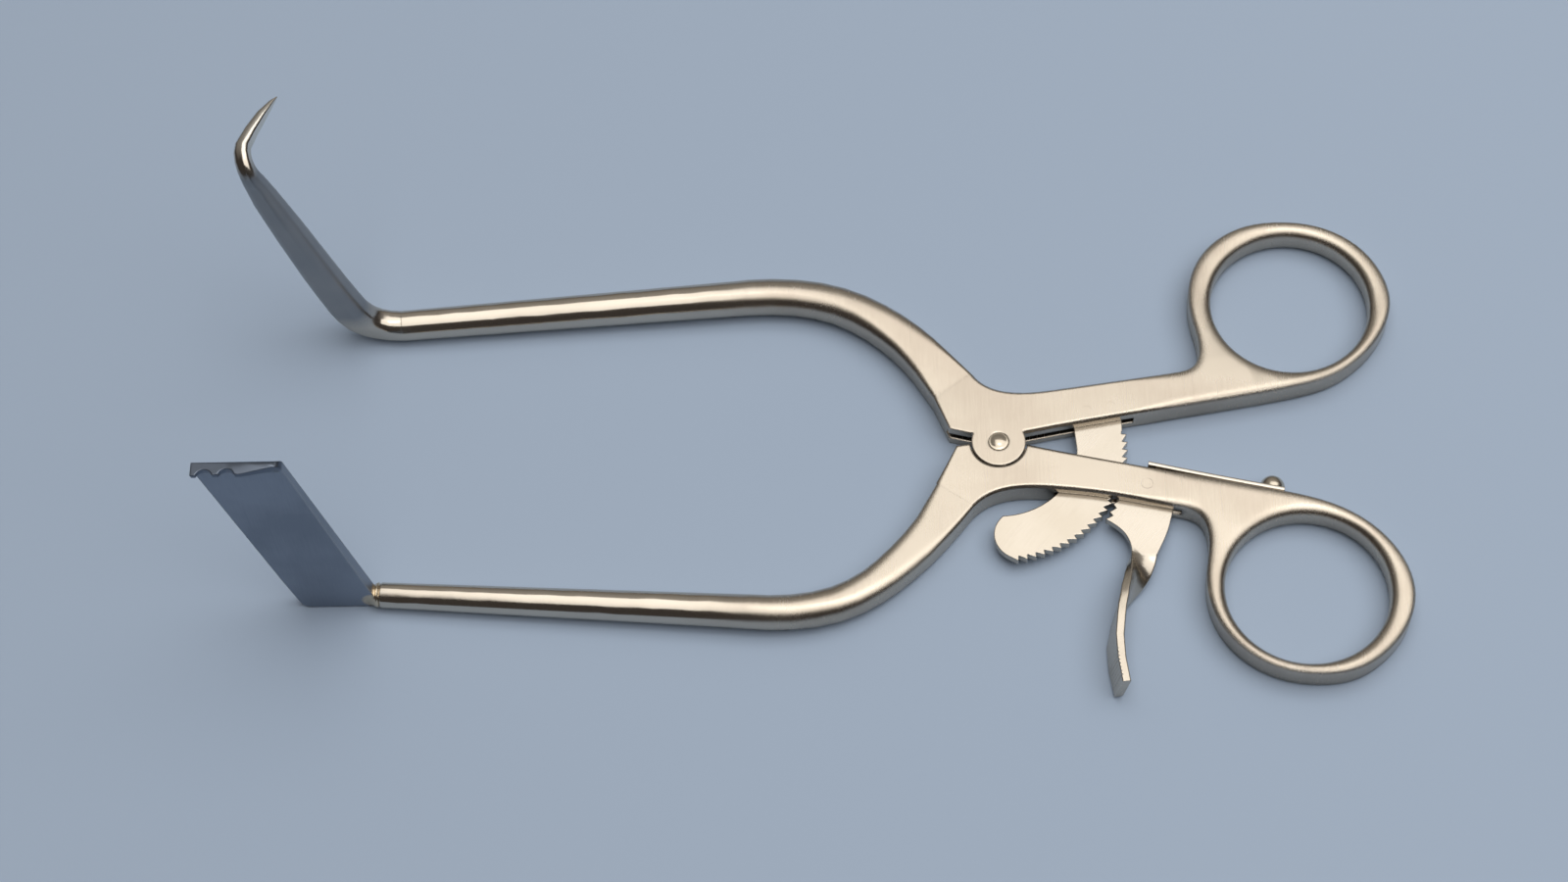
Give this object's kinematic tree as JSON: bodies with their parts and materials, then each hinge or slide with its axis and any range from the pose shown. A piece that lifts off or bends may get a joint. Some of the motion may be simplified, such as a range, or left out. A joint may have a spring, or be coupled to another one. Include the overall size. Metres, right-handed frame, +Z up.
{
  "type": "self retaining retractor",
  "caption": "Ring-handled spreading retractor: two pivoted arms, one ending in a sharp hook and one in a toothed blade, held open by a ratchet rack and thumb lever.",
  "frame": {"origin": "on the pivot axis, in the plane the instrument lies on", "axes": "+X runs from the pivot to the finger rings, +Y to the arm with the single hook, +Z up along the pivot axis to the tips of the blades"},
  "size_m": [0.1822, 0.0827, 0.051],
  "materials": {
    "satin_steel": "satin, with polished lower edges",
    "blade_steel": "satin",
    "plate_steel": "satin",
    "spring_steel": "polished",
    "polished_steel": "polished"
  },
  "bodies": {
    "blade_arm_group": {"blade_arm": "satin_steel", "toothed_blade": "blade_steel", "pivot_pin": "polished_steel", "lever_pin": "polished_steel", "leaf_spring": "spring_steel", "spring_screw": "polished_steel"},
    "hook_arm_group": {"hook_arm": "satin_steel", "ratchet_rack": "plate_steel", "rack_pin_1": "polished_steel", "rack_pin_2": "polished_steel"},
    "lever": {"release_lever": "plate_steel"}
  },
  "joints": [
    {"name": "arm_spread", "type": "hinge", "parent": "blade_arm_group", "child": "hook_arm_group", "pos_m": [0, 0, 0], "axis": [0, 0, 1], "range_deg": [-16, 20]},
    {"name": "lever_release", "type": "hinge", "parent": "blade_arm_group", "child": "lever", "pos_m": [0.023, -0.008, 0], "axis": [0, 0, 1], "range_deg": [-9, 5], "deforming": ["leaf_spring"]}
  ]
}
